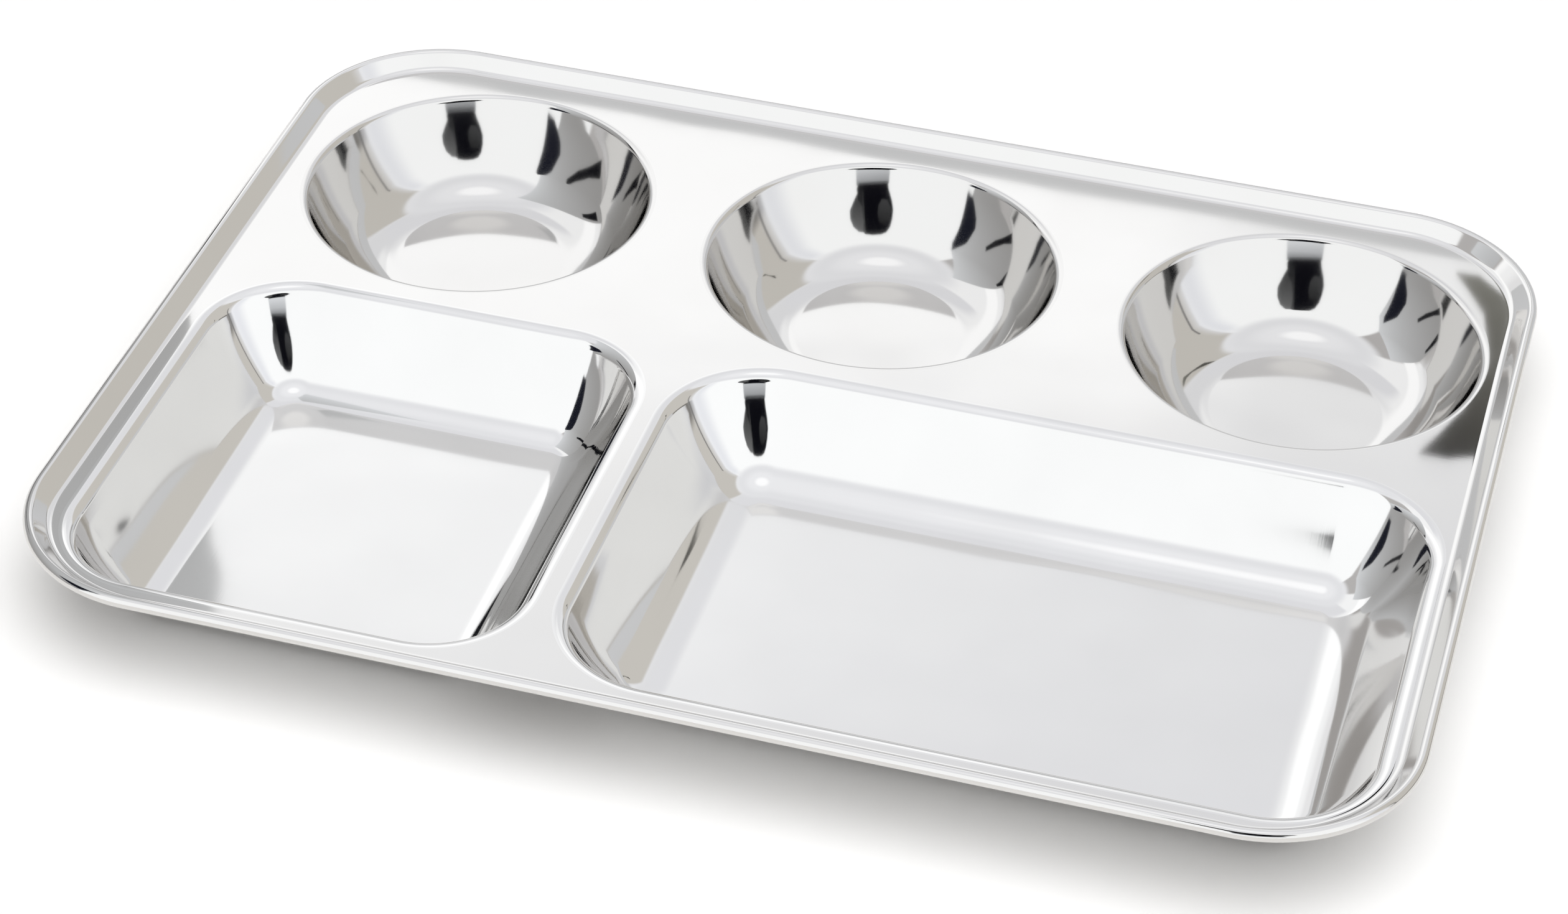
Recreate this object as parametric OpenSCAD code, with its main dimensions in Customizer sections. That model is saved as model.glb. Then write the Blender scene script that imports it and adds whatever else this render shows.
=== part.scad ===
// Five-compartment serving tray, pressed from one sheet of polished stainless steel.
// Three round bowls stand in the back row, a small and a large rectangular well in front.
// A raised border runs round the deck and ends in an edge rolled over a stiffening wire.
// The sheet is drawn area by area: each area starts where its neighbour ends, so all of
// them together are one unbroken skin of one thickness, and only the wire is a second piece.
// The origin is on the table under the middle of the tray, with the bowls towards +Y.

/* [Tray] */
// Overall width, over the rolled edge
tray_w = 340; // [325:1:420]
// Overall depth from front to back, over the rolled edge
tray_d = 253; // [225:1:320]
// Overall height from the table to the top of the rolled edge
tray_h = 28; // [22:0.5:36]
// Thickness of the steel sheet
sheet_t = 0.6; // [0.4:0.05:1]
// Corner radius of the tray in plan, over the rolled edge
rim_corner_r = 39; // [28:0.5:39.5]

/* [Border] */
// Width in plan of the border, from the flat deck to the outermost point
border_run = 7; // [6:0.25:10]
// Height of the top of the rolled edge above the deck
border_rise = 4; // [3.5:0.25:8]
// Radius of the bend where the deck turns up into the border
border_foot_r = 2.5; // [1.5:0.25:3]
// Outside diameter of the rolled edge
roll_d = 3; // [2.6:0.1:3.4]
// How far the sheet turns round the wire, in degrees
roll_turn = 290; // [240:5:310]
// Clearance between the wire and the sheet rolled over it
wire_gap = 0.05; // [0.02:0.01:0.1]

/* [Deck] */
// Flat strip of deck between the border and the small well on the left
left_strip = 3; // [1.5:0.1:8]
// The same strip between the border and the large well on the right
right_strip = 0.8; // [0.5:0.1:8]
// The same strip at the front
front_strip = 2.1; // [1.5:0.1:6]
// The same strip at the back, behind the bowls
back_strip = 6.3; // [1:0.1:12]
// Strip of deck between the row of bowls and the row of wells
row_gap = 5.5; // [3:0.1:14]
// Strip of deck between the two wells
well_gap = 4.5; // [3:0.1:14]
// How much further in than the sides of the wells the two outer bowls stand
bowl_inset = 1.4; // [0:0.1:4]

/* [Walls] */
// Radius of the slight hollow that the walls of all the compartments have from top to bottom
wall_r = 60; // [45:1:200]

/* [Bowls] */
// Diameter of a bowl at its mouth
bowl_mouth_d = 95; // [88:1:100]
// Diameter of the flat floor of a bowl
bowl_floor_d = 45; // [30:1:52]
// Radius of the rounded lip where the deck bends down into a bowl
bowl_lip_r = 2; // [1.5:0.25:4]
// Radius of the bend between the wall of a bowl and its floor
bowl_bend_r = 18; // [8:0.5:20]

/* [Wells] */
// Radius of the rounded lip where the deck bends down into a well
well_lip_r = 4; // [2:0.25:6]
// Width of the small well at its mouth
small_well_w = 119.5; // [80:0.5:150]
// Width in plan of the small well's sloping wall, from its mouth to its flat floor
small_wall_run = 23; // [20.5:0.5:27]
// Radius of the bend between the small well's wall and its floor
small_bend_r = 11.5; // [6:0.5:14]
// Corner radius of the small well's flat floor
small_corner_r = 3; // [1:0.5:12]
// Width in plan of the large well's sloping wall
large_wall_run = 26.5; // [25.5:0.5:30]
// Radius of the bend between the large well's wall and its floor
large_bend_r = 16.5; // [8:0.5:18]
// Corner radius of the large well's flat floor
large_corner_r = 2; // [1:0.5:12]

/* [Hidden] */

// Straight pieces that each bend of the sheet is drawn with
bend_steps = 10;
// Straight pieces that the hollow of a wall is drawn with
wall_steps = 6;
// Largest share of a wall's width that its lip and its bend take up together
bend_share = 0.82;
// Straight pieces that the sheet's turn round the wire is drawn with
roll_steps = 30;
// Roundness of the revolved areas
round_fn = 96;
wire_fn = 24;
// Overrun of a cutter past the face that it cuts
cut = 1;

// Heights
deck_z = tray_h - border_rise;
depth = deck_z - sheet_t;

// The deck inside the border
deck_w = tray_w - 2 * border_run;
deck_d = tray_d - 2 * border_run;
deck_corner_r = rim_corner_r - border_run;

// Lines that the compartments line up with
left_x = left_strip - deck_w / 2;
right_x = deck_w / 2 - right_strip;
front_y = front_strip - deck_d / 2;
back_y = deck_d / 2 - back_strip;

// Bowls: the middle one stands halfway between the outer two
bowl_r = bowl_mouth_d / 2;
bowl_y = back_y - bowl_r;
bowl_left_x = left_x + bowl_inset + bowl_r;
bowl_right_x = right_x - bowl_inset - bowl_r;
bowl_middle_x = (bowl_left_x + bowl_right_x) / 2;
bowl_run = bowl_r - bowl_floor_d / 2;

// Wells: both reach from the front strip to the strip before the bowls
well_back_y = back_y - bowl_mouth_d - row_gap;
well_d = well_back_y - front_y;
well_y = (well_back_y + front_y) / 2;
small_well_x = left_x + small_well_w / 2;
large_well_w = right_x - left_x - small_well_w - well_gap;
large_well_x = right_x - large_well_w / 2;
small_mouth_corner_r = small_corner_r + small_wall_run;
large_mouth_corner_r = large_corner_r + large_wall_run;

// The border's sheet, in plan distance from the deck and height above its top face
roll_r = roll_d / 2;
wire_r = roll_r - sheet_t - wire_gap;
roll_centre = [border_run - roll_r, border_rise - roll_r];
border_slope = slope_between(roll_centre[0], roll_centre[1] - border_foot_r, roll_r + border_foot_r);

// Slope, in degrees, of the line that touches two circles on opposite sides.
// Their centres lie along by up apart, and their radii add up to radii.
function slope_between(along, up, radii) =
    atan2(up, along) + asin(min(1, radii / norm([along, up])));

// Points of an arc round centre, from angle a0 to a1
function arc(centre, r, a0, a1, steps = bend_steps) =
    [for (i = [0:steps]) let (a = a0 + (a1 - a0) * i / steps) centre + r * [cos(a), sin(a)]];

function reversed(points) = [for (i = [len(points) - 1:-1:0]) points[i]];

// Slopes of a compartment's wall, in degrees, where it meets the lip and where it meets the bend.
// The centres of lip, wall and bend form a triangle, whose sides are sums and differences of radii.
function wall_slopes(run, lip_r, bend_r) =
    let (up = lip_r + bend_r - depth, span = norm([run, up]),
         lip_side = lip_r + wall_r, bend_side = wall_r - bend_r,
         cosine = (lip_side * lip_side + span * span - bend_side * bend_side)
                  / (2 * lip_side * span),
         top = atan2(run, up) - acos(cosine))
    [top, atan2(lip_side * sin(top) - run, lip_side * cos(top) - up)];

// One face of the sheet from the mouth of a compartment down to its floor, in distance in from
// the mouth and height. The outer face has the same arcs, moved by the thickness of the sheet.
function pan_face(run, lip_r, bend_r, slopes, grow) =
    let (wall_centre = [0, -lip_r] + (lip_r + wall_r) * [sin(slopes[0]), cos(slopes[0])],
         wall = arc(wall_centre, wall_r + grow, 270 - slopes[0], 270 - slopes[1], wall_steps))
    concat(arc([0, -lip_r], lip_r - grow, 90, 90 - slopes[0]),
           [for (i = [1:wall_steps - 1]) wall[i]],
           arc([run, bend_r - depth], bend_r + grow, 270 - slopes[1], 270));

// Section through a compartment, from its middle or corner centre out to its mouth: a rounded
// lip, a slightly hollow wall, a wide bend and the flat floor. Where the wall is too narrow for
// the bend, the bend gets smaller.
function pan_section(mouth_edge, run, lip_r, wide_bend_r) =
    let (bend_r = min(wide_bend_r, bend_share * run - lip_r),
         slopes = wall_slopes(run, lip_r, bend_r),
         inner = [for (p = pan_face(run, lip_r, bend_r, slopes, 0)) [mouth_edge - p[0], p[1]]],
         outer = [for (p = pan_face(run, lip_r, bend_r, slopes, sheet_t))
                  [mouth_edge - p[0], p[1]]])
    concat(inner, [[0, -depth], [0, -depth - sheet_t]], reversed(outer));

// Section through the sloping border, up to where the sheet starts to roll over the wire
function border_section() = concat(
    arc([0, border_foot_r], border_foot_r, 270, 270 + border_slope),
    [for (r = [roll_r, roll_r - sheet_t])
        roll_centre + r * [-sin(border_slope), cos(border_slope)]],
    arc([0, border_foot_r], border_foot_r + sheet_t, 270 + border_slope, 270));

// Section through the rolled edge, which takes over from the border and turns round the wire
function roll_section() =
    let (from = 90 + border_slope, to = from - roll_turn)
    concat(arc(roll_centre, roll_r, from, to, roll_steps),
           arc(roll_centre, roll_r - sheet_t, to, from, roll_steps));

// Carries a flat section round a rectangle with rounded corners. The section's x is measured
// from the centre of a corner, so it turns about that centre and runs straight between two.
module sweep_around(w, d, corner_r) {
    corners = [[1, 1], [-1, 1], [-1, -1], [1, -1]];
    centre = [w / 2 - corner_r, d / 2 - corner_r];
    for (i = [0:3]) {
        side = 2 * centre[(i + 1) % 2];
        translate([corners[i][0] * centre[0], corners[i][1] * centre[1]]) rotate(90 * i) {
            rotate_extrude(angle = 90, $fn = round_fn) children();
            rotate([90, 0, 0]) linear_extrude(side) children();
        }
    }
}

// Rounded rectangular plate between two heights
module round_plate(w, d, corner_r, bottom, top) {
    sweep_around(w, d, corner_r) translate([0, bottom]) square([corner_r, top - bottom]);
    translate([corner_r - w / 2, corner_r - d / 2, bottom])
        cube([w - 2 * corner_r, d - 2 * corner_r, top - bottom]);
}

// Rectangular well with rounded corners and sloping walls
module well(w, d, mouth_corner_r, wall_run, bend_r) {
    sweep_around(w, d, mouth_corner_r)
        polygon(pan_section(mouth_corner_r, wall_run, well_lip_r, bend_r));
    translate([mouth_corner_r - w / 2, mouth_corner_r - d / 2, -depth - sheet_t])
        cube([w - 2 * mouth_corner_r, d - 2 * mouth_corner_r, sheet_t]);
}

// Round bowl with a flat floor
module bowl(x) {
    translate([x, bowl_y, deck_z])
        rotate_extrude($fn = round_fn)
            polygon(pan_section(bowl_r, bowl_run, bowl_lip_r, bowl_bend_r));
}

// Places a section round the border
module around_border() {
    translate([0, 0, deck_z]) sweep_around(deck_w, deck_d, deck_corner_r)
        translate([deck_corner_r, 0]) children();
}

module deck_plate() {
    color("gainsboro") difference() {
        round_plate(deck_w, deck_d, deck_corner_r, deck_z - sheet_t, deck_z);
        for (x = [bowl_left_x, bowl_middle_x, bowl_right_x])
            translate([x, bowl_y, deck_z - sheet_t - cut])
                cylinder(h = sheet_t + 2 * cut, r = bowl_r, $fn = round_fn);
        translate([small_well_x, well_y])
            round_plate(small_well_w, well_d, small_mouth_corner_r,
                        deck_z - sheet_t - cut, deck_z + cut);
        translate([large_well_x, well_y])
            round_plate(large_well_w, well_d, large_mouth_corner_r,
                        deck_z - sheet_t - cut, deck_z + cut);
    }
}

module bowl_left() {
    color("lightgray") bowl(bowl_left_x);
}

module bowl_middle() {
    color("lightgray") bowl(bowl_middle_x);
}

module bowl_right() {
    color("lightgray") bowl(bowl_right_x);
}

module small_well() {
    color("silver") translate([small_well_x, well_y, deck_z])
        well(small_well_w, well_d, small_mouth_corner_r, small_wall_run, small_bend_r);
}

module large_well() {
    color("silver") translate([large_well_x, well_y, deck_z])
        well(large_well_w, well_d, large_mouth_corner_r, large_wall_run, large_bend_r);
}

module border_wall() {
    color("darkgray") around_border() polygon(border_section());
}

module rolled_edge() {
    color("whitesmoke") around_border() polygon(roll_section());
}

module rim_wire() {
    color("dimgray") around_border() translate(roll_centre) circle(r = wire_r, $fn = wire_fn);
}

deck_plate();
bowl_left();
bowl_middle();
bowl_right();
small_well();
large_well();
border_wall();
rolled_edge();
rim_wire();
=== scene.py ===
# %% [markdown]
# A five-compartment steel tray, dressed around its measured frame
#
# The real tray is one sheet of stainless steel, pressed into three bowls and two wells, and its
# edge is rolled over a wire. The measured parts come in first, as a fixed frame, and all that is
# modelled here takes its size and place from them. The frame's own surfaces are made of short
# flat strips. On a dull part nobody would see them, but polished steel is a mirror, and a mirror
# shows every flat strip. So each area of the sheet is modelled again, smooth, in the same place.

# %% Load the frame
import math

import bpy
from mathutils import Matrix, Vector


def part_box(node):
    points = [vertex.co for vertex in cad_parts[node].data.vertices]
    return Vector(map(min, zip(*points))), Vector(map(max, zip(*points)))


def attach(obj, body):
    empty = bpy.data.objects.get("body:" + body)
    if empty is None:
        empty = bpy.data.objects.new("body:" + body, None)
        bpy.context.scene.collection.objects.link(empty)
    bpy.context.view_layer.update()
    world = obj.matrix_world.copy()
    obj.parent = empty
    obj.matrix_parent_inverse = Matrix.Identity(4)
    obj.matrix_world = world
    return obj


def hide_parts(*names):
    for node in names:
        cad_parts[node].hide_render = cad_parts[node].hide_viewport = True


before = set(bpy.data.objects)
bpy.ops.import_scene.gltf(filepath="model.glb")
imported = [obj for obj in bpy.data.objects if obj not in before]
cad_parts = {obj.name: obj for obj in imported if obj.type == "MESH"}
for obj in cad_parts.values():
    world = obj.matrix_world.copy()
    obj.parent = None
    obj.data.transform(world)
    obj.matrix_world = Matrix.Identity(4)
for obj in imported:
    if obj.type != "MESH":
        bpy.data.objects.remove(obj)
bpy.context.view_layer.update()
scene = bpy.context.scene
print("frame:", sorted(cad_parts))

# %% [markdown]
# Sizes come from the frame wherever it can be asked for them. The deck's box gives the height of
# the deck and the thickness of the sheet, and a compartment's box gives its middle and its mouth.
# The radii of the bends can't be read from a box, so they are written down once, here.

# %% Sizes of the sheet
MM = 0.001
deck_low, deck_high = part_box("deck_plate")
deck_z = deck_high.z
sheet_t = deck_high.z - deck_low.z
deck_w = deck_high.x - deck_low.x
deck_d = deck_high.y - deck_low.y
depth = deck_z - sheet_t

# A bowl: radius of its flat floor, of its lip, and of the bend at the foot of its wall
bowl_floor_r, bowl_lip_r, bowl_bend_r = 22.5 * MM, 2 * MM, 18 * MM
# A well: radius of its lip; then width of its wall in plan, radius of its bend and of its corners
well_lip_r = 4 * MM
well_sizes = {"small_well": (23 * MM, 11.5 * MM, 26 * MM),
              "large_well": (26.5 * MM, 16.5 * MM, 28.5 * MM)}
# Radius of the slight hollow that every wall has from top to bottom
wall_r = 60 * MM
deck_corner_r = 32 * MM

border_run = 7 * MM
border_rise = 4 * MM
border_foot_r = 2.5 * MM
roll_r = 1.5 * MM
roll_turn = 290

# Flat strip that each compartment and the border keep beyond their own bend
lap = 0.4 * MM
# Distance at which a flat or straight stretch is held against the bend beside it
hold = 0.3 * MM
# Turn of a bend in one face, and faces in a quarter of a round outline
bend_step = 2.5
quarter_faces = 36
print(f"deck {deck_w / MM:.1f} x {deck_d / MM:.1f} mm at {deck_z / MM:.1f} mm, "
      f"sheet {sheet_t / MM:.2f} mm")

# %% [markdown]
# A press can't make a sharp corner in steel, so every section of this sheet is made of arcs and of
# straight lines that touch them. An arc is a row of points, one every few degrees. Where a straight
# line joins two arcs that bend opposite ways, as on the border, its slope follows from the two
# circles that it touches.


# %% Arcs and the lines that touch them
def arc(centre, radius, start, end):
    """Points of an arc from one angle to another, in degrees, with its first and last point."""
    steps = max(1, math.ceil(abs(end - start) / bend_step))
    angles = [math.radians(start + (end - start) * i / steps) for i in range(steps + 1)]
    return [(centre[0] + radius * math.cos(a), centre[1] + radius * math.sin(a)) for a in angles]


def slope_between(along, up, radii):
    """Slope, in degrees, of the line that touches two circles whose radii add up to radii."""
    return math.degrees(math.atan2(up, along) + math.asin(min(1, radii / math.hypot(along, up))))


def straight(start, end):
    """Points that hold a straight stretch flat right up to the bends at its two ends."""
    length = math.dist(start, end)
    if length < 2 * hold:
        return []
    shares = (hold / length, 1 - hold / length)
    return [tuple(a + (b - a) * s for a, b in zip(start, end)) for s in shares]


# %% [markdown]
# The walls of the bowls and wells look straight, but they mirror the room as a hollow mirror does.
# So each wall is a long arc too, between the small round lip at the deck and the wide bend at the
# floor. Two arcs run into each other smoothly when the point where they meet lies on one line with
# their centres, and that gives the wall's slope at both of its ends.


# %% The section of a compartment
def wall_slopes(run, lip_r, bend_r):
    """Slopes, in degrees, of a compartment's wall at its lip and at its bend."""
    up = lip_r + bend_r - depth
    span = math.hypot(run, up)
    lip_side = lip_r + wall_r
    bend_side = wall_r - bend_r
    cosine = (lip_side**2 + span**2 - bend_side**2) / (2 * lip_side * span)
    top = math.atan2(run, up) - math.acos(cosine)
    low = math.atan2(lip_side * math.sin(top) - run, lip_side * math.cos(top) - up)
    return math.degrees(top), math.degrees(low)


def pan_section(run, lip_r, bend_r):
    """A compartment's section: distance in from its mouth, and height from the deck."""
    top, low = wall_slopes(run, lip_r, bend_r)
    print(f"a wall {run / MM:.1f} mm wide slopes from {top:.1f} to {low:.1f} degrees")
    lip = arc((0, -lip_r), lip_r, 90, 90 - top)
    across = math.radians(top)
    wall_centre = ((lip_r + wall_r) * math.sin(across), (lip_r + wall_r) * math.cos(across) - lip_r)
    wall = arc(wall_centre, wall_r, 270 - top, 270 - low)
    foot = arc((run, bend_r - depth), bend_r, 270 - low, 270)
    return [(-lap, 0)] + lip + wall[1:-1] + foot + [(run + hold, -depth)]


# %% [markdown]
# Operators act on whatever is selected, so each piece starts from a clean selection. These small
# helpers do what a hand does between two steps: let go of everything, go into edit mode, and come
# back out.


# %% Helpers for working by hand
def let_go():
    """Leaves edit mode and deselects everything."""
    if bpy.context.object and bpy.context.object.mode != "OBJECT":
        bpy.ops.object.mode_set(mode="OBJECT")
    bpy.ops.object.select_all(action="DESELECT")


def start_edit():
    """Goes into edit mode on the active object with all of it selected."""
    bpy.ops.object.mode_set(mode="EDIT")
    bpy.ops.mesh.select_all(action="SELECT")


def round_face(name, centre, radius):
    """A flat round face at deck height."""
    let_go()
    bpy.ops.mesh.primitive_circle_add(vertices=4 * quarter_faces, radius=radius, fill_type="NGON",
                                      location=(centre.x, centre.y, deck_z))
    bpy.ops.object.transform_apply(location=True, rotation=True, scale=True)
    bpy.context.object.name = name
    return bpy.context.object


def rounded_face(name, centre, width, length, corner_r):
    """A flat rectangular face at deck height, with its four corners rounded off."""
    let_go()
    bpy.ops.mesh.primitive_plane_add(size=1, location=(centre.x, centre.y, deck_z))
    bpy.ops.transform.resize(value=(width, length, 1))
    bpy.ops.object.transform_apply(location=True, rotation=True, scale=True)
    start_edit()
    bpy.ops.mesh.bevel(offset_type="OFFSET", offset=corner_r, segments=quarter_faces,
                       profile=0.5, affect="VERTICES")
    bpy.ops.object.mode_set(mode="OBJECT")
    bpy.context.object.name = name
    return bpy.context.object


# %% [markdown]
# A skin without thickness looks wrong at its edges and can't be printed, so each curved area gets
# the sheet's thickness below its polished face. Before that, its doubled points are merged and its
# faces are turned to look up, because the thickness grows on their back. Smooth shading then hides
# the small faces of the bends, and the edges of the sheet stay sharp, because they turn by more
# than the limit.


# %% Turn an area up and give it its thickness
# Two faces that turn by less than this are shaded as one smooth surface
SMOOTH_BELOW = math.radians(30)
MERGE_WITHIN = 0.001 * MM


def turn_up(piece, top_point):
    """Makes all faces look to one side, which is up at the face nearest to top_point."""
    let_go()
    piece.select_set(True)
    bpy.context.view_layer.objects.active = piece
    start_edit()
    bpy.ops.mesh.remove_doubles(threshold=MERGE_WITHIN)
    bpy.ops.mesh.normals_make_consistent(inside=False)
    bpy.ops.object.mode_set(mode="OBJECT")
    nearest = min(piece.data.polygons, key=lambda face: (face.center - top_point).length)
    if nearest.normal.z < 0:
        start_edit()
        bpy.ops.mesh.flip_normals()
        bpy.ops.object.mode_set(mode="OBJECT")


def report(piece):
    """Prints how many faces a finished piece has."""
    triangles = sum(len(face.vertices) - 2 for face in piece.data.polygons)
    print(f"{piece.name}: {len(piece.data.polygons)} faces, {triangles} triangles")


def thicken(piece, top_point):
    """Gives an open surface the sheet's thickness below its polished face."""
    turn_up(piece, top_point)
    wall = piece.modifiers.new("sheet", "SOLIDIFY")
    wall.thickness = sheet_t
    wall.offset = -1
    wall.use_even_offset = True
    wall.use_quality_normals = True
    bpy.ops.object.modifier_apply(modifier=wall.name)
    bpy.ops.object.shade_smooth_by_angle(angle=SMOOTH_BELOW)
    let_go()
    report(piece)


# %% [markdown]
# The compartments. A press pushes a punch into the flat sheet, and the wall follows it down. The
# same can be done by hand to a flat face: inset it a little and lower it a little, again and again.
# Each inset is one step along the section, so the walls get the very curve of the formula, and the
# face that is left at the end is the flat floor.


# %% Press a compartment into the sheet
def press_down(piece, section):
    """Insets and lowers the one face of a piece along a section."""
    start_edit()
    for (x0, z0), (x1, z1) in zip(section, section[1:]):
        bpy.ops.mesh.inset(thickness=x1 - x0, depth=z1 - z0, use_even_offset=True)
    bpy.ops.object.mode_set(mode="OBJECT")


def middle(node):
    """Middle of a measured part's box."""
    low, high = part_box(node)
    return (low + high) / 2


def mouth_size(node):
    """Width and length of a compartment's mouth, which is its widest outline."""
    low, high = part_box(node)
    return high.x - low.x, high.y - low.y


# %% The three bowls
bowls = {}
for side in ("left", "middle", "right"):
    node = "bowl_" + side
    bowl_r = mouth_size(node)[0] / 2
    bowl = round_face(side + "_bowl", middle(node), bowl_r + lap)
    press_down(bowl, pan_section(bowl_r - bowl_floor_r, bowl_lip_r, bowl_bend_r))
    thicken(bowl, Vector((middle(node).x + bowl_r, middle(node).y, deck_z)))
    bowls[node] = bowl

# %% The two wells
wells = {}
for node, (wall_run, bend_r, corner_r) in well_sizes.items():
    width, length = mouth_size(node)
    well = rounded_face(node + "_sheet", middle(node), width + 2 * lap, length + 2 * lap,
                        corner_r + lap)
    press_down(well, pan_section(wall_run, well_lip_r, bend_r))
    thicken(well, Vector((middle(node).x + width / 2, middle(node).y, deck_z)))
    wells[node] = well

# %% [markdown]
# The deck is the part of the sheet that stays flat between the compartments. It could be a plate
# with five holes cut by a boolean, but a flat area needs no cutting: its outline and the outlines
# of the five mouths are drawn as bare edges, and Blender's fill puts faces between them and leaves
# the mouths open. Pulling the filled face down by one thickness makes it a solid plate.


# %% The deck
def only_edges(piece):
    """Takes the face out of an outline and leaves its edges."""
    start_edit()
    bpy.ops.mesh.delete(type="ONLY_FACE")
    bpy.ops.object.mode_set(mode="OBJECT")


def make_deck():
    """Fills the deck's outline round the five mouths, and gives the plate its thickness."""
    deck = rounded_face("deck_sheet", Vector((0, 0, 0)), deck_w - 2 * lap, deck_d - 2 * lap,
                        deck_corner_r - lap)
    outlines = [deck]
    for node in bowls:
        outlines.append(round_face("mouth", middle(node), mouth_size(node)[0] / 2 + lap))
    for node, (wall_run, bend_r, corner_r) in well_sizes.items():
        width, length = mouth_size(node)
        outlines.append(rounded_face("mouth", middle(node), width + 2 * lap, length + 2 * lap,
                                     corner_r + lap))
    for outline in outlines:
        let_go()
        outline.select_set(True)
        bpy.context.view_layer.objects.active = outline
        only_edges(outline)
    for outline in outlines:
        outline.select_set(True)
    bpy.context.view_layer.objects.active = deck
    bpy.ops.object.join()
    start_edit()
    bpy.ops.mesh.fill(use_beauty=True)
    bpy.ops.object.mode_set(mode="OBJECT")
    area = sum(face.area for face in deck.data.polygons)
    print(f"flat deck: {area * 1e4:.1f} cm2")
    start_edit()
    bpy.ops.mesh.extrude_region_move(TRANSFORM_OT_translate={"value": (0, 0, -sheet_t)})
    bpy.ops.mesh.select_all(action="SELECT")
    bpy.ops.mesh.normals_make_consistent(inside=False)
    let_go()
    report(deck)
    return deck


deck = make_deck()

# %% [markdown]
# The border and the rolled edge go round the deck with one and the same section, so they are swept
# and not pressed. The section is drawn by extruding a single vertex from point to point. Then the
# section is extruded along a straight side, spun a quarter turn about the corner's centre, extruded
# along the next side, and so on until the ends meet.


# %% Sweep a section round the deck
def sweep_round(name, section):
    """Section points are distances out from the deck's outline and heights above the deck."""
    let_go()
    x = deck_w / 2 - deck_corner_r
    y = deck_d / 2 - deck_corner_r
    start = Vector((deck_w / 2 + section[0][0], -y, deck_z + section[0][1]))
    bpy.ops.mesh.primitive_plane_add(size=MM, location=start)
    piece = bpy.context.object
    piece.name = name
    bpy.ops.object.transform_apply(location=True, rotation=True, scale=True)
    start_edit()
    bpy.ops.mesh.merge(type="CENTER")
    for (u0, z0), (u1, z1) in zip(section, section[1:]):
        bpy.ops.mesh.extrude_region_move(TRANSFORM_OT_translate={"value": (u1 - u0, 0, z1 - z0)})
    bpy.ops.mesh.select_all(action="SELECT")
    sides = [(0, 2 * y), (-2 * x, 0), (0, -2 * y), (2 * x, 0)]
    corners = [(x, y), (-x, y), (-x, -y), (x, -y)]
    for (dx, dy), (cx, cy) in zip(sides, corners):
        bpy.ops.mesh.extrude_region_move(TRANSFORM_OT_translate={"value": (dx, dy, 0)})
        bpy.ops.mesh.spin(steps=quarter_faces, angle=math.pi / 2, center=(cx, cy, 0),
                          axis=(0, 0, -1))
    bpy.ops.object.mode_set(mode="OBJECT")
    return piece


# %% The border and the rolled edge
roll_centre = (border_run - roll_r, border_rise - roll_r)
border_slope = slope_between(roll_centre[0], roll_centre[1] - border_foot_r, roll_r + border_foot_r)
foot = arc((0, border_foot_r), border_foot_r, 270, 270 + border_slope)
roll = arc(roll_centre, roll_r, 90 + border_slope, 90 + border_slope - roll_turn)
slope_points = straight(foot[-1], roll[0])

border = sweep_round("border_sheet", [(-lap, 0)] + foot + slope_points)
thicken(border, Vector((deck_w / 2, 0, deck_z)))

rolled_edge = sweep_round("rolled_rim", slope_points[-1:] + roll)
thicken(rolled_edge, Vector((deck_w / 2 + roll_centre[0], 0, deck_z + border_rise)))

# %% [markdown]
# Polished steel. A perfect mirror has one colour and no grain, and it looks like glass. Real
# polished sheet is a little uneven: the press leaves broad, shallow waves, the buffing wheel leaves
# fine lines that blur what it reflects along one direction, and the polish is hazier in some
# places. All of this is made from noise on the object's own coordinates, so it stays on the steel.
#
# The colour of a metal is the share of light that it sends back. It is tempting to make polished
# steel nearly white, but a real sheet sends back only about 0.7, and a little less of the blue.
# That matters here, because light bounces two or three times inside a bowl. With a nearly white
# steel nothing is lost on the way and the bowl turns white all over. With the true value each
# bounce is darker and warmer, and that is what makes the bowl look deep. Each area has its own
# colour as well: the bowls' steel is made darker than the deck's, as painted shade, and the wells'
# steel lighter, as painted light.

# %% Colours of the steel
# For each area: where the polish is bright, and where it is hazy
STEEL = (0.70, 0.69, 0.675, 1)
STEEL_WARM = (0.675, 0.66, 0.64, 1)
# The bowls' two colours are darker than the deck's: painted shade
BOWL_STEEL_SHADED = (0.675, 0.665, 0.65, 1)
BOWL_STEEL_WARM_SHADED = (0.655, 0.64, 0.62, 1)
# The wells' colour is lighter than the deck's: painted light
WELL_STEEL_LIT = (0.755, 0.745, 0.73, 1)
# Size of the hazy spots and of the waves, as the noise texture's scale, and the haze's blur
HAZE_SCALE, WAVE_SCALE = 28, 22
LEAST_BLUR, MOST_BLUR = 0.05, 0.09
LINE_DEPTH = 0.0006 * MM
print(f"the steel sends back {STEEL[1]:.2f} on the deck, {BOWL_STEEL_SHADED[1]:.2f} in the bowls, "
      f"{WELL_STEEL_LIT[1]:.2f} in the wells")


# %% The polished steel
def add(tree, kind, place=(0, 0), **settings):
    """Adds a node and sets its properties."""
    node = tree.nodes.new(kind)
    node.location = place
    for key, value in settings.items():
        setattr(node, key, value)
    return node


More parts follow.
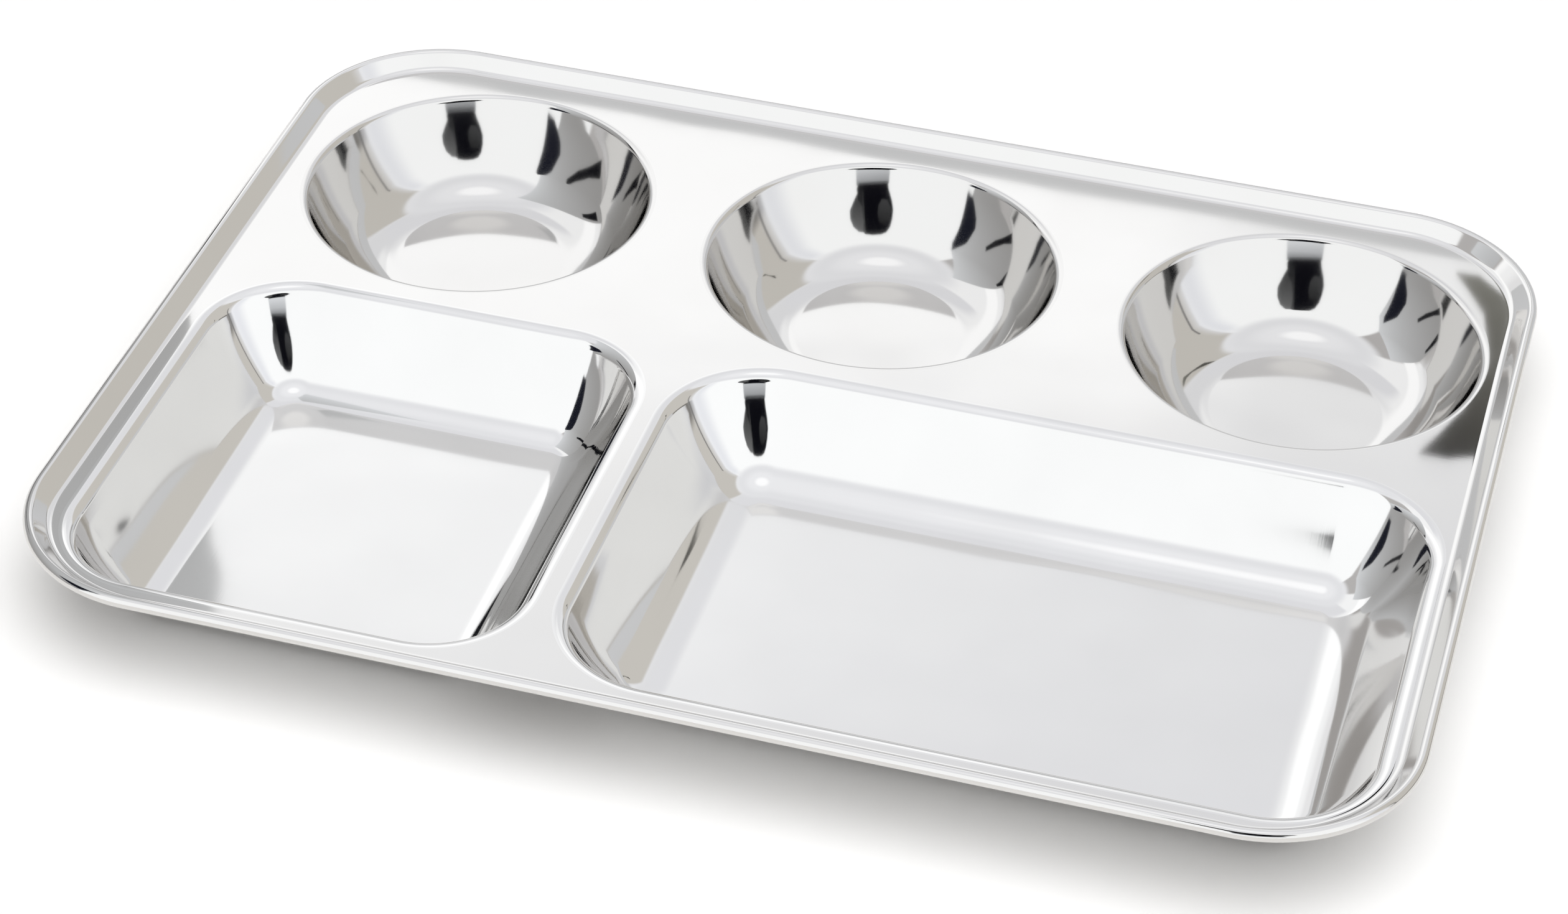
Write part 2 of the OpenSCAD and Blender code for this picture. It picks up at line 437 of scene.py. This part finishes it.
def polished_steel(name, line_stretch, wave_depth, bright, dull):
    """Polished sheet whose buffing lines run along the axes with a small line_stretch."""
    material = bpy.data.materials.new(name)
    material.use_nodes = True
    tree = material.node_tree
    tree.nodes.clear()
    output = add(tree, "ShaderNodeOutputMaterial", (900, 0))
    steel = add(tree, "ShaderNodeBsdfPrincipled", (600, 0))
    steel.inputs["Metallic"].default_value = 1.0
    tree.links.new(steel.outputs["BSDF"], output.inputs["Surface"])
    place = add(tree, "ShaderNodeTexCoord", (-900, 0))

    haze = add(tree, "ShaderNodeTexNoise", (-500, 250))
    haze.inputs["Scale"].default_value = HAZE_SCALE
    haze.inputs["Detail"].default_value = 5
    tree.links.new(place.outputs["Object"], haze.inputs["Vector"])
    tint = add(tree, "ShaderNodeMix", (100, 300), data_type="RGBA")
    tint.inputs["A"].default_value = bright
    tint.inputs["B"].default_value = dull
    tree.links.new(haze.outputs["Fac"], tint.inputs["Factor"])
    tree.links.new(tint.outputs["Result"], steel.inputs["Base Color"])

    blur = add(tree, "ShaderNodeMapRange", (100, 50))
    blur.inputs["From Min"].default_value = 0.3
    blur.inputs["From Max"].default_value = 0.7
    blur.inputs["To Min"].default_value = LEAST_BLUR
    blur.inputs["To Max"].default_value = MOST_BLUR
    tree.links.new(haze.outputs["Fac"], blur.inputs["Value"])
    tree.links.new(blur.outputs["Result"], steel.inputs["Roughness"])

    stretch = add(tree, "ShaderNodeMapping", (-700, -200))
    stretch.inputs["Scale"].default_value = line_stretch
    tree.links.new(place.outputs["Object"], stretch.inputs["Vector"])
    lines = add(tree, "ShaderNodeTexNoise", (-500, -200))
    lines.inputs["Scale"].default_value = 1
    lines.inputs["Detail"].default_value = 3
    tree.links.new(stretch.outputs["Vector"], lines.inputs["Vector"])
    fine = add(tree, "ShaderNodeBump", (100, -200))
    fine.inputs["Strength"].default_value = 1.0
    fine.inputs["Distance"].default_value = LINE_DEPTH
    tree.links.new(lines.outputs["Fac"], fine.inputs["Height"])

    waves = add(tree, "ShaderNodeTexNoise", (-500, -500))
    waves.inputs["Scale"].default_value = WAVE_SCALE
    waves.inputs["Detail"].default_value = 1
    tree.links.new(place.outputs["Object"], waves.inputs["Vector"])
    broad = add(tree, "ShaderNodeBump", (300, -300))
    broad.inputs["Strength"].default_value = 1.0
    broad.inputs["Distance"].default_value = wave_depth
    tree.links.new(waves.outputs["Fac"], broad.inputs["Height"])
    tree.links.new(fine.outputs["Normal"], broad.inputs["Normal"])
    tree.links.new(broad.outputs["Normal"], steel.inputs["Normal"])
    return material


# %% Put the steel on the sheet
deck_steel = polished_steel("deck_polish", (60, 2500, 60), 0.15 * MM, STEEL, STEEL_WARM)
# The bowls get the darker steel, painted shade, and the wells the lighter one, painted light
bowl_steel = polished_steel("bowl_polish_shaded", (1500, 1500, 1500), 0.35 * MM, BOWL_STEEL_SHADED,
                            BOWL_STEEL_WARM_SHADED)
well_steel = polished_steel("well_polish_lit", (2500, 60, 60), 0.3 * MM, WELL_STEEL_LIT, STEEL)
rim_steel = polished_steel("rim_polish", (1200, 1200, 60), 0.1 * MM, STEEL, STEEL_WARM)
for piece in bowls.values():
    piece.data.materials.append(bowl_steel)
for piece in wells.values():
    piece.data.materials.append(well_steel)
deck.data.materials.append(deck_steel)
border.data.materials.append(rim_steel)
rolled_edge.data.materials.append(rim_steel)
print("steel:", deck_steel.name, bowl_steel.name, well_steel.name, rim_steel.name)

# %% [markdown]
# The wire inside the rolled edge is drawn steel wire, left as it came off the coil. Nobody polishes
# it, so it is duller than the sheet. Its measured part has the right shape and only needs a finish.

# %% The drawn wire
WIRE_DARK = (0.52, 0.51, 0.5, 1)
WIRE_PALE = (0.64, 0.63, 0.62, 1)
WIRE_GRAIN = 900


def drawn_wire():
    """Satin steel with a fine grain."""
    material = bpy.data.materials.new("drawn_wire")
    material.use_nodes = True
    tree = material.node_tree
    steel = tree.nodes["Principled BSDF"]
    steel.inputs["Metallic"].default_value = 1.0
    place = add(tree, "ShaderNodeTexCoord", (-900, 0))
    grain = add(tree, "ShaderNodeTexNoise", (-600, 0))
    grain.inputs["Scale"].default_value = WIRE_GRAIN
    tree.links.new(place.outputs["Object"], grain.inputs["Vector"])
    tint = add(tree, "ShaderNodeMix", (-300, 200), data_type="RGBA")
    tint.inputs["A"].default_value = WIRE_DARK
    tint.inputs["B"].default_value = WIRE_PALE
    tree.links.new(grain.outputs["Fac"], tint.inputs["Factor"])
    tree.links.new(tint.outputs["Result"], steel.inputs["Base Color"])
    blur = add(tree, "ShaderNodeMapRange", (-300, -100))
    blur.inputs["To Min"].default_value = 0.3
    blur.inputs["To Max"].default_value = 0.45
    tree.links.new(grain.outputs["Fac"], blur.inputs["Value"])
    tree.links.new(blur.outputs["Result"], steel.inputs["Roughness"])
    return material


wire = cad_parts["rim_wire"]
wire.data.materials.clear()
wire.data.materials.append(drawn_wire())
print("wire:", wire.data.materials[0].name)

# %% [markdown]
# The studio. A mirror has no look of its own: what we see in it is the room. A ready-made picture
# of a room is the usual way, but a room of our own can be laid out for this one object. Its far
# parts are painted on the world as soft patches, each with a compass direction, a height and a
# lean. The sum for one patch is short: how far is this direction from the patch's middle, across
# and upright, and does the patch cover it fully, partly or not at all.


# %% Sums and fades
def number(tree, kind, a, b=None):
    """A Math node on one or two values or sockets; gives its output."""
    node = add(tree, "ShaderNodeMath", operation=kind)
    for socket, value in zip(node.inputs, (a, b)):
        if value is None:
            continue
        if isinstance(value, (int, float)):
            socket.default_value = value
        else:
            tree.links.new(value, socket)
    return node.outputs[0]


def fade(tree, value, inner, outer):
    """1 up to inner, 0 from outer on, smooth between."""
    node = add(tree, "ShaderNodeMapRange", interpolation_type="SMOOTHSTEP")
    node.inputs["From Min"].default_value = inner
    node.inputs["From Max"].default_value = outer
    node.inputs["To Min"].default_value = 1
    node.inputs["To Max"].default_value = 0
    tree.links.new(value, node.inputs["Value"])
    return node.outputs["Result"]


# %% Lay one soft patch
def paint_patch(tree, under, turn, height, patch):
    """Lays one soft patch over the colour under it."""
    name, compass, half_width, low, high, lean, soft, colour = patch
    half_height = (high - low) / 2
    from_middle = number(tree, "SUBTRACT", height, (low + high) / 2)
    leaned = number(tree, "SUBTRACT", number(tree, "SUBTRACT", turn, compass),
                    number(tree, "MULTIPLY", from_middle, lean))
    wrapped = add(tree, "ShaderNodeMath", operation="WRAP")
    tree.links.new(leaned, wrapped.inputs[0])
    wrapped.inputs[1].default_value = 180
    wrapped.inputs[2].default_value = -180
    across = fade(tree, number(tree, "ABSOLUTE", wrapped.outputs[0]),
                  half_width - soft, half_width + soft)
    upright = fade(tree, number(tree, "ABSOLUTE", from_middle),
                   half_height - soft, half_height + soft)
    mix = add(tree, "ShaderNodeMix", data_type="RGBA", label=name)
    tree.links.new(number(tree, "MULTIPLY", across, upright), mix.inputs["Factor"])
    tree.links.new(under, mix.inputs["A"])
    mix.inputs["B"].default_value = (*colour, 1)
    return mix.outputs["Result"]


# %% [markdown]
# The room has a broad white light over the camera, a white sweep behind the tray, a beige wall on
# the right, a grey one on the left and a pale ceiling. A patch that comes later lies over those
# before it. Some colours are above 1: the steel takes away almost a third of the light, and they
# make up for it, so that a white wall still looks white after one bounce.

# %% The patches of the room
CEILING = (1.13, 1.15, 1.2)
# name, compass direction, half width, lowest and highest edge, lean, softness, colour
patches = [
    ("horizon", 0, 200, -90, 18, 0, 5, (0.763, 0.762, 0.768)),
    ("grey wall on the left", -112, 34, -90, 56, 0, 5, (0.615, 0.606, 0.608)),
    ("white sweep behind", -32, 50, 18, 70, 0, 3, (1.23, 1.25, 1.28)),
    ("dim end of the sweep", 6, 20, 18, 66, 0, 12, (0.984, 1, 1.04)),
    ("near end of the foot", -6, 7, 26, 37, 0, 3, (1.21, 1.23, 1.26)),
    ("bright foot of the sweep", -46, 38, 26, 37, 0, 1.5, (1.39, 1.41, 1.44)),
    ("dim top of the sweep", -12, 30, 42, 66, 0, 3, (0.984, 1, 1.05)),
    ("floor under the sweep", -45, 30, -90, 20, 0, 4, (1.06, 1.07, 1.1)),
    ("dark gap behind", 12, 30, -90, 13, 0, 4, (0.12, 0.115, 0.105)),
    ("beige wall on the right", 53, 31, -90, 57, 0, 2, (0.75, 0.73, 0.69)),
    ("dark foot of the beige wall", 66, 26, -90, 7, 0, 3, (0.22, 0.21, 0.195)),
    ("light over the camera", 161, 77, -90, 70, 0, 1.5, (1.32, 1.35, 1.38)),
    ("shaded side of the light", 90, 8, -90, 56, 0, 8, (1.09, 1.12, 1.19)),
    ("edge of the light", 83, 0.8, -90, 34, -0.12, 0.5, (0.246, 0.244, 0.243)),
    ("ceiling", 0, 200, 61, 120, 0, 7, CEILING),
    ("bright top of the room", 0, 200, 82, 120, 0, 3, (1.36, 1.38, 1.42)),
    ("edge of the ceiling", 0, 200, 59, 71, 0, 6, (1.04, 1.06, 1.11)),
]
print(len(patches), "patches in the room")

# %% [markdown]
# Three kinds of ray ask the world for its colour, and each gets its own answer. Reflections see the
# painted room. The camera sees plain white past the floor. All other light, which is what falls on
# the floor and fills the tray's shadow, is even and faint, because the lamp brings the rest.

# %% Paint the room
EVEN_LIGHT = 0.23
EVEN_COLOUR = (1, 0.97, 0.93, 1)


def paint_room():
    """Makes the world of the scene from the patches."""
    world = bpy.data.worlds.new("studio")
    scene.world = world
    world.use_nodes = True
    tree = world.node_tree
    tree.nodes.clear()
    direction = add(tree, "ShaderNodeTexCoord").outputs["Generated"]
    parts = add(tree, "ShaderNodeSeparateXYZ")
    tree.links.new(direction, parts.inputs[0])
    turn = number(tree, "DEGREES", number(tree, "ARCTAN2", parts.outputs["X"], parts.outputs["Y"]))
    height = number(tree, "DEGREES", number(tree, "ARCSINE", parts.outputs["Z"]))
    base = add(tree, "ShaderNodeRGB")
    base.outputs[0].default_value = (*CEILING, 1)
    colour = base.outputs[0]
    for patch in patches:
        colour = paint_patch(tree, colour, turn, height, patch)

    room = add(tree, "ShaderNodeBackground", label="seen in the steel")
    tree.links.new(colour, room.inputs["Color"])
    even = add(tree, "ShaderNodeBackground", label="even light on the floor")
    even.inputs["Color"].default_value = EVEN_COLOUR
    even.inputs["Strength"].default_value = EVEN_LIGHT
    white = add(tree, "ShaderNodeBackground", label="seen by the camera")
    white.inputs["Color"].default_value = (1, 1, 1, 1)

    ray = add(tree, "ShaderNodeLightPath")
    backdrop = add(tree, "ShaderNodeMixShader")
    tree.links.new(ray.outputs["Is Camera Ray"], backdrop.inputs["Fac"])
    tree.links.new(even.outputs[0], backdrop.inputs[1])
    tree.links.new(white.outputs[0], backdrop.inputs[2])
    choose = add(tree, "ShaderNodeMixShader")
    tree.links.new(ray.outputs["Is Glossy Ray"], choose.inputs["Fac"])
    tree.links.new(backdrop.outputs[0], choose.inputs[1])
    tree.links.new(room.outputs[0], choose.inputs[2])
    output = add(tree, "ShaderNodeOutputWorld")
    tree.links.new(choose.outputs[0], output.inputs["Surface"])
    print("world:", world.name, "with", len(tree.nodes), "nodes")


paint_room()

# %% [markdown]
# The near things in the room stand so close that each compartment sees them from another side. A
# painted patch can't do that, so they are real cards round the tray. Each is drawn on its own
# upright plane, by extruding one vertex along its outline and filling it. A card glows with its own
# two colours from foot to top, and only reflections see it, so it throws no shadow on the floor.


# %% Stand a plane upright and let it glow
def upright(place, compass, points):
    """Points of an upright plane through a place: distance along it and height."""
    turn = math.radians(compass)
    return [Vector((place[0] + along * math.cos(turn), place[1] - along * math.sin(turn), z))
            for along, z in points]


def glow(name, low, high, low_z, high_z):
    """Light of its own that goes from one colour at low_z to another at high_z."""
    material = bpy.data.materials.new(name)
    material.use_nodes = True
    tree = material.node_tree
    tree.nodes.clear()
    place = add(tree, "ShaderNodeTexCoord")
    parts = add(tree, "ShaderNodeSeparateXYZ")
    tree.links.new(place.outputs["Object"], parts.inputs[0])
    rise = add(tree, "ShaderNodeMapRange")
    rise.inputs["From Min"].default_value = low_z
    rise.inputs["From Max"].default_value = high_z
    tree.links.new(parts.outputs["Z"], rise.inputs["Value"])
    mix = add(tree, "ShaderNodeMix", data_type="RGBA")
    tree.links.new(rise.outputs["Result"], mix.inputs["Factor"])
    mix.inputs["A"].default_value = (*low, 1)
    mix.inputs["B"].default_value = (*high, 1)
    shine = add(tree, "ShaderNodeEmission")
    tree.links.new(mix.outputs["Result"], shine.inputs["Color"])
    output = add(tree, "ShaderNodeOutputMaterial")
    tree.links.new(shine.outputs[0], output.inputs["Surface"])
    return material


# %% Cut a card
def make_card(name, place, compass, points, low, high):
    """Cuts one card from its outline; only reflections see it."""
    corners = upright(place, compass, points)
    let_go()
    bpy.ops.mesh.primitive_plane_add(size=MM, location=corners[0])
    card = bpy.context.object
    card.name = name
    bpy.ops.object.transform_apply(location=True, rotation=True, scale=True)
    start_edit()
    bpy.ops.mesh.merge(type="CENTER")
    for here, there in zip(corners, corners[1:]):
        bpy.ops.mesh.extrude_region_move(TRANSFORM_OT_translate={"value": there - here})
    bpy.ops.mesh.select_all(action="SELECT")
    bpy.ops.mesh.edge_face_add()
    let_go()
    heights = [z for along, z in points]
    card.data.materials.append(glow(name, low, high, min(heights), max(heights)))
    card.visible_camera = False
    card.visible_diffuse = False
    card.visible_shadow = False
    print(f"{name}: {len(card.data.polygons)} face, {len(corners)} corners")


# %% [markdown]
# The first four cards stand on the camera's side, which all the back walls mirror. A black card
# there gives each compartment its one dark shape with a waist. Without it the walls would be white
# all over, and the eye would take the steel for white enamel.

# %% The cards over the camera's side
BLACK = (0.00482, 0.005, 0.00784)
NAVY = (0.00965, 0.0112, 0.0209)


def stand(cards):
    """Stands cards: name, (place, compass direction), outline, colour at foot and at top."""
    for name, (place, compass), points, low, high in cards:
        make_card(name, place, compass, points, low, high)


# A place on the floor, and the compass direction that the card's plane faces
camera_side = (0.21, -0.49), 160
before_camera = (0.209, -0.487), 160
stand([
    ("pale stand", camera_side,
     [(-0.13, 0.13), (0.10, 0.13), (0.10, 0.22), (-0.13, 0.22)],
     (1.1, 1.14, 1.2), (0.2, 0.21, 0.22)),
    ("grey card", camera_side,
     [(-0.11, 0.24), (-0.15, 0.30), (-0.20, 0.38), (-0.21, 0.45), (-0.195, 0.52), (-0.15, 0.57),
      (-0.08, 0.58), (-0.08, 0.24)],
     (0.03, 0.031, 0.033), (0.20, 0.205, 0.21)),
    ("black card", camera_side,
     [(-0.11, 0.205), (-0.13, 0.235), (-0.125, 0.30), (-0.095, 0.36), (-0.09, 0.48),
      (-0.105, 0.57), (-0.09, 0.595), (-0.02, 0.605), (0.06, 0.60), (0.11, 0.58), (0.14, 0.53),
      (0.152, 0.46), (0.152, 0.39), (0.135, 0.33), (0.105, 0.26), (0.09, 0.205)],
     BLACK, BLACK),
    ("grey disc", before_camera,
     [(0.06, 0.31), (0.035, 0.35), (0.03, 0.42), (0.045, 0.48), (0.075, 0.505), (0.105, 0.49),
      (0.13, 0.44), (0.125, 0.37), (0.10, 0.32)],
     (0.07, 0.072, 0.076), (0.02, 0.021, 0.022)),
])

# %% [markdown]
# On the left stands a grey wall that gets paler towards its top, as a wall under a lamp does. The
# right walls of the bowls and wells mirror it. A narrow dark blind stands before its near end, and
# two small black cards hang before it.

# %% The cards on the left
left_wall = (-0.245, 0.11), 111.8
before_left_wall = (-0.2413, 0.1085), 111.8
stand([
    ("wall on the left", left_wall,
     [(-0.03, 0.05), (0.50, 0.05), (0.50, 0.42), (-0.03, 0.42)],
     (0.42, 0.42, 0.42), (0.87, 0.90, 0.94)),
    ("black blind", ((-0.309, -0.204), -131),
     [(-0.045, 0.098), (-0.012, 0.098), (0.045, 0.15), (0.085, 0.21), (0.055, 0.265),
      (0.012, 0.325), (-0.008, 0.30), (-0.02, 0.22), (-0.035, 0.15)],
     NAVY, NAVY),
    ("black strip", before_left_wall,
     [(0.042, 0.053), (0.062, 0.045), (0.085, 0.07), (0.115, 0.10), (0.14, 0.14),
      (0.125, 0.142), (0.10, 0.108), (0.07, 0.075)],
     BLACK, BLACK),
    ("black block", before_left_wall,
     [(-0.025, 0.07), (-0.003, 0.07), (-0.012, 0.12), (-0.022, 0.12)],
     BLACK, BLACK),
])

# %% [markdown]
# Behind the tray a low grey strip gives the border its darker line, and one dark card gives the
# deck the dark shape beside the right bowl.

# %% The cards behind
stand([
    ("grey strip behind", ((0, 0.2), 0),
     [(-0.26, -0.02), (0.26, -0.02), (0.26, 0.083), (-0.26, 0.083)],
     (0.796, 0.812, 0.849), (0.748, 0.762, 0.784)),
    ("dark card behind", ((0, 0.1995), 0),
     [(0.140, 0.087), (0.147, 0.087), (0.158, 0.095), (0.158, 0.15), (0.146, 0.155),
      (0.137, 0.155), (0.149, 0.135), (0.1535, 0.118), (0.150, 0.10)],
     (0.241, 0.24, 0.215), (0.055, 0.053, 0.05)),
])

# %% [markdown]
# The floor is a plain white sweep, so wide that its end is never seen. A brighter lamp would make
# it white too, but it would burn out anything else that stood there. So the light stays plain, and
# the floor's own colour is almost white. The small rest up to white is a faint glow that only the
# camera and the reflections see. The tray's soft shadow stays on it.

# %% The floor
FLOOR_SIZE = 24
FLOOR_COLOUR = (0.98, 0.98, 0.98, 1)
FLOOR_GLOW = 0.03


def make_floor():
    """Lays the floor that the tray stands on."""
    let_go()
    bpy.ops.mesh.primitive_plane_add(size=FLOOR_SIZE, location=(0, 0, 0))
    floor = bpy.context.object
    floor.name = "floor"
    material = bpy.data.materials.new("white_sweep")
    material.use_nodes = True
    tree = material.node_tree
    shader = tree.nodes["Principled BSDF"]
    shader.inputs["Base Color"].default_value = FLOOR_COLOUR
    shader.inputs["Roughness"].default_value = 1
    shader.inputs["Specular IOR Level"].default_value = 0
    lift = add(tree, "ShaderNodeEmission", (0, -300))
    ray = add(tree, "ShaderNodeLightPath", (-400, -300))
    seen = number(tree, "MAXIMUM", ray.outputs["Is Camera Ray"], ray.outputs["Is Glossy Ray"])
    seen = number(tree, "MAXIMUM", seen, ray.outputs["Is Transmission Ray"])
    tree.links.new(number(tree, "MULTIPLY", seen, FLOOR_GLOW), lift.inputs["Strength"])
    both = add(tree, "ShaderNodeAddShader", (300, 0))
    tree.links.new(shader.outputs["BSDF"], both.inputs[0])
    tree.links.new(lift.outputs["Emission"], both.inputs[1])
    tree.links.new(both.outputs[0], tree.nodes["Material Output"].inputs["Surface"])
    floor.data.materials.append(material)
    print(f"floor {FLOOR_SIZE} m wide")


make_floor()

# %% [markdown]
# One broad soft light comes from high over the camera. The tray's edge stands clear of the floor,
# so this light reaches a little way under it, and the shadow is dark only right below the edge. A
# sun lamp with a wide angle lights the whole floor alike. The steel doesn't show the lamp, because
# its reflection is painted in the room already. A sun of strength pi that stands overhead makes a
# white surface exactly white, so the strength is written as a share of that.

# %% The light from over the camera
LIGHT_TURN, LIGHT_HEIGHT, LIGHT_WIDTH = 150, 73, 62
LIGHT_SHARE = 0.79
LIGHT_POWER = LIGHT_SHARE * math.pi / math.sin(math.radians(LIGHT_HEIGHT))


def hang_light():
    """Hangs the broad light: compass direction, height and width are in degrees."""
    let_go()
    bpy.ops.object.light_add(type="SUN", location=(0, 1, 1))
    lamp = bpy.context.object
    lamp.name = "broad_light"
    lamp.data.energy = LIGHT_POWER
    lamp.data.angle = math.radians(LIGHT_WIDTH)
    lamp.rotation_euler = (math.radians(LIGHT_HEIGHT - 90), 0, math.radians(-LIGHT_TURN))
    lamp.visible_glossy = False
    print(f"light of strength {LIGHT_POWER:.2f}, {LIGHT_HEIGHT} degrees high")


hang_light()

# %% [markdown]
# The camera stands where the photograph was taken from: about a metre away, in front of the tray,
# a little to its right and 38 degrees above it, with a long lens. It leans a touch to one side.

# %% The camera
camera_place = Vector((0.20734, -0.77976, 0.63235))
camera_aim = Vector((-0.00019, -0.0223, 0.024))
camera_lean = 1.32
camera_lens = 92.53

camera_data = bpy.data.cameras.new("camera")
camera_data.lens = camera_lens
camera_data.sensor_width = 36
camera = bpy.data.objects.new("camera", camera_data)
scene.collection.objects.link(camera)
aim = (camera_aim - camera_place).to_track_quat("-Z", "Y").to_matrix().to_4x4()
camera.matrix_world = (Matrix.Translation(camera_place) @ aim
                       @ Matrix.Rotation(math.radians(camera_lean), 4, "Z"))
scene.camera = camera
scene.view_settings.view_transform = "Standard"
print(f"camera {(camera_aim - camera_place).length:.2f} m away, {camera_lens:.0f} mm lens")

# %% [markdown]
# Last, each piece is hung on the body that it rides on, and the measured part that it stands for
# is hidden. The tray has no moving parts, so all of it rides on the one body.

# %% Hang the pieces on the body and hide the parts they stand for
stands_for = {"deck_plate": deck, "border_wall": border, "rolled_edge": rolled_edge}
stands_for.update(bowls)
stands_for.update(wells)
for node, piece in stands_for.items():
    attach(piece, "root")
    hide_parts(node)
print(len(stands_for), "pieces ride on the one body")
